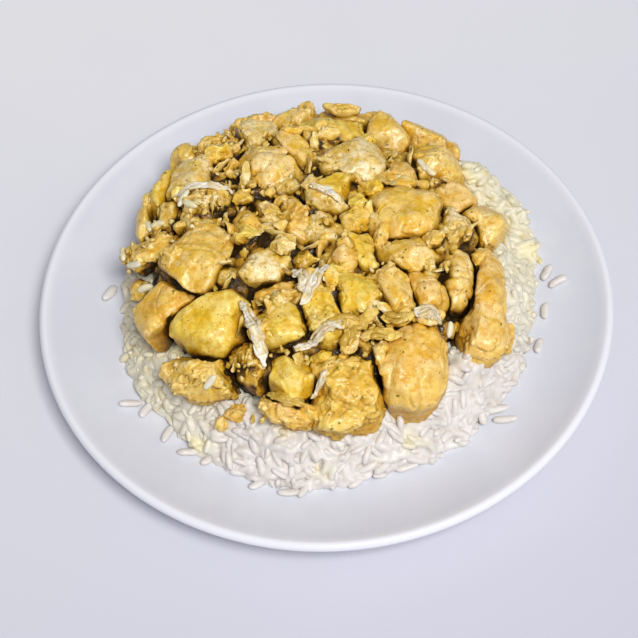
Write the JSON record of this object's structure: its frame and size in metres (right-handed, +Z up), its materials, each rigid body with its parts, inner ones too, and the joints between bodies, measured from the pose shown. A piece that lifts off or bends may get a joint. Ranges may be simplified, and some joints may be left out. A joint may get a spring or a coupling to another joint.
{
  "type": "chicken curry on rice",
  "caption": "Heap of turmeric-yellow chicken pieces on a bed of white rice, served on a round white coupe plate.",
  "frame": {"origin": "on the table under the middle of the plate, at the centre of the bottom of the bounding box", "axes": "+Z up, +X to the eater's right, +Y away from the eater"},
  "size_m": [0.25, 0.25, 0.06],
  "materials": {
    "glaze": "smooth white gloss glaze",
    "rice": "moist cooked white rice",
    "crumbled_chicken": "crumbled meat in thick curry sauce",
    "chicken_golden": "moist chicken coated in golden curry",
    "chicken_yellow": "moist chicken coated in bright yellow curry",
    "chicken_orange": "moist chicken coated in orange-gold curry",
    "chicken_pale": "moist pale cut chicken meat"
  },
  "bodies": {
    "root": {"plate": "glaze", "rice_bed": "rice", "curry_bed": "crumbled_chicken", "chicken_slab_left_back": "chicken_pale", "chicken_strip_left_inner": "chicken_yellow", "chicken_wedge_left": "chicken_golden", "chicken_knob_left": "chicken_golden", "chicken_crumbly_left": "chicken_pale", "chicken_large_left": "chicken_golden", "chicken_side_left": "chicken_orange", "chicken_edge_left": "chicken_golden", "chicken_crumbly_back_left": "chicken_golden", "chicken_rounded_back_left": "chicken_pale", "chicken_large_back_left": "chicken_golden", "chicken_tapered_back": "chicken_golden", "chicken_ribbed_back": "chicken_yellow", "chicken_strip_back_left": "chicken_orange", "chicken_lumpy_back_left": "chicken_golden", "chicken_roll_back": "chicken_golden", "chicken_wide_back": "chicken_golden", "chicken_back_right": "chicken_golden", "chicken_block_back_right": "chicken_golden", "chicken_small_back_right": "chicken_orange", "chicken_large_right_back": "chicken_golden", "chicken_large_centre_back": "chicken_pale", "chicken_lumps_centre": "chicken_yellow", "chicken_under_centre_back": "chicken_orange", "chicken_block_centre_right": "chicken_golden", "chicken_small_right": "chicken_orange", "chicken_round_right": "chicken_golden", "chicken_mottled_right": "chicken_pale", "chicken_curved_right": "chicken_golden", "chicken_long_right": "chicken_orange", "chicken_bean_right": "chicken_orange", "chicken_small_tan_centre": "chicken_orange", "chicken_wedge_centre": "chicken_yellow", "chicken_curled_centre": "chicken_golden", "chicken_flake_centre": "chicken_pale", "chicken_pale_centre": "chicken_pale", "chicken_orange_lumps": "chicken_orange", "chicken_small_centre_left": "chicken_golden", "chicken_almond_left": "chicken_orange", "chicken_cube_centre_left": "chicken_pale", "chicken_flat_centre": "chicken_orange", "chicken_mottled_front": "chicken_yellow", "chicken_lumpy_front": "chicken_yellow", "chicken_large_front_left": "chicken_orange", "chicken_bright_front_left": "chicken_yellow", "chicken_front_left_low": "chicken_golden", "chicken_small_front_left": "chicken_golden", "chicken_pentagon_front": "chicken_yellow", "chicken_strip_front": "chicken_orange", "chicken_rough_front": "chicken_golden", "chicken_large_front_right": "chicken_orange", "chicken_round_centre_right": "chicken_yellow", "chicken_irregular_right": "chicken_golden", "chicken_wide_centre_right": "chicken_golden", "chicken_flank_back_left": "chicken_golden", "chicken_flank_back_middle": "chicken_orange", "chicken_flank_back_right": "chicken_golden"}
  },
  "joints": []
}
